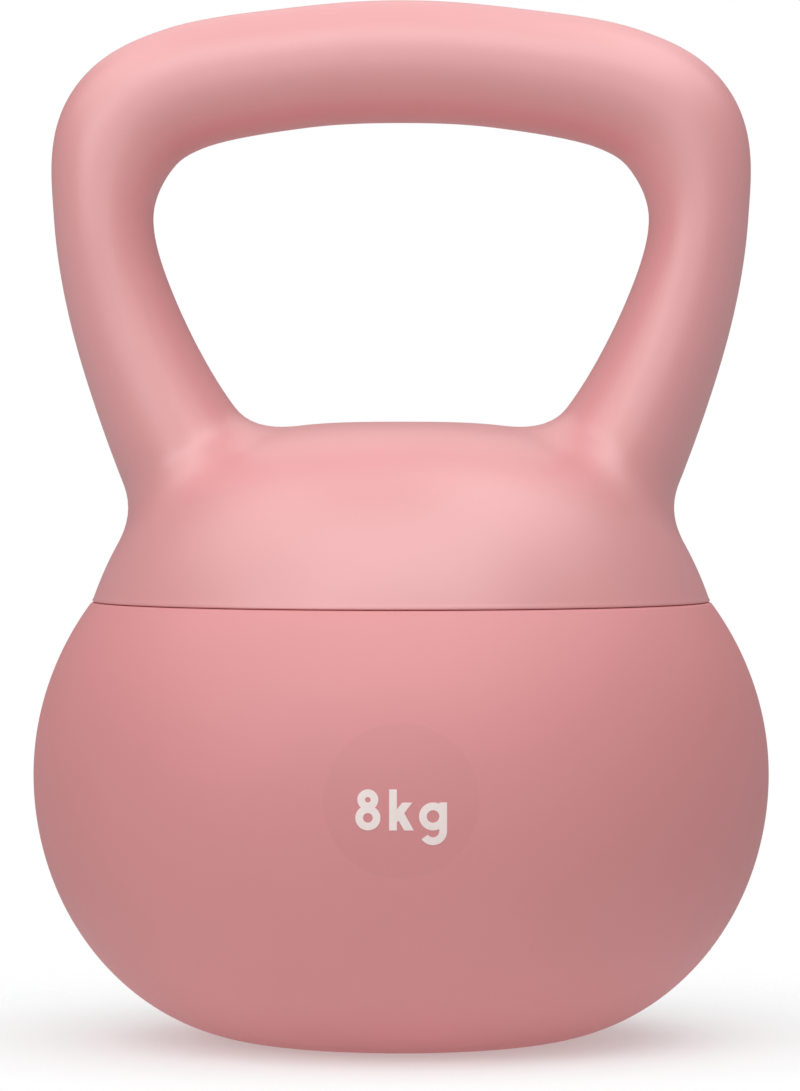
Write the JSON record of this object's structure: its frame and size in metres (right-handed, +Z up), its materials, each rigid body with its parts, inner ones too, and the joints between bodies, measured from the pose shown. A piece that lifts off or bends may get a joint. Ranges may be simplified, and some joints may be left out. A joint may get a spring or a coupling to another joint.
{
  "type": "soft kettlebell",
  "caption": "Kettlebell with a rigid hollow loop handle and shoulder clamped to a soft round body filled with iron sand, standing on a flat base.",
  "frame": {"origin": "centre of the flat base, on the floor", "axes": "+Z up through the middle of the grip; X along the grip bar, Y through the hand opening"},
  "size_m": [0.1982, 0.1982, 0.28],
  "materials": {
    "handle_plastic": "smooth satin moulded plastic, pale pink",
    "seat_plastic": "moulded plastic, unfinished inside",
    "gasket_foam": "closed-cell foam rubber",
    "body_vinyl": "soft matte vinyl, dusty pink",
    "zinc_steel": "zinc-plated steel",
    "iron_sand": "loose iron sand",
    "port_plastic": "natural moulded plastic",
    "seal_rubber": "black seal rubber",
    "pad_rubber": "matte non-slip rubber",
    "print_ink": "pale printed mark on the body"
  },
  "bodies": {
    "root": {"handle_shell": "handle_plastic", "handle_seat": "seat_plastic", "neck_gasket": "gasket_foam", "body_shell": "body_vinyl", "clamp_ring": "zinc_steel", "iron_sand": "iron_sand", "filler_collar": "port_plastic", "filler_plug": "port_plastic", "plug_seal": "seal_rubber", "base_pad": "pad_rubber", "clamp_screw_1": "zinc_steel", "clamp_screw_2": "zinc_steel", "clamp_screw_3": "zinc_steel", "clamp_screw_4": "zinc_steel", "clamp_screw_5": "zinc_steel", "clamp_screw_6": "zinc_steel", "clamp_screw_7": "zinc_steel", "clamp_screw_8": "zinc_steel"}
  },
  "joints": []
}
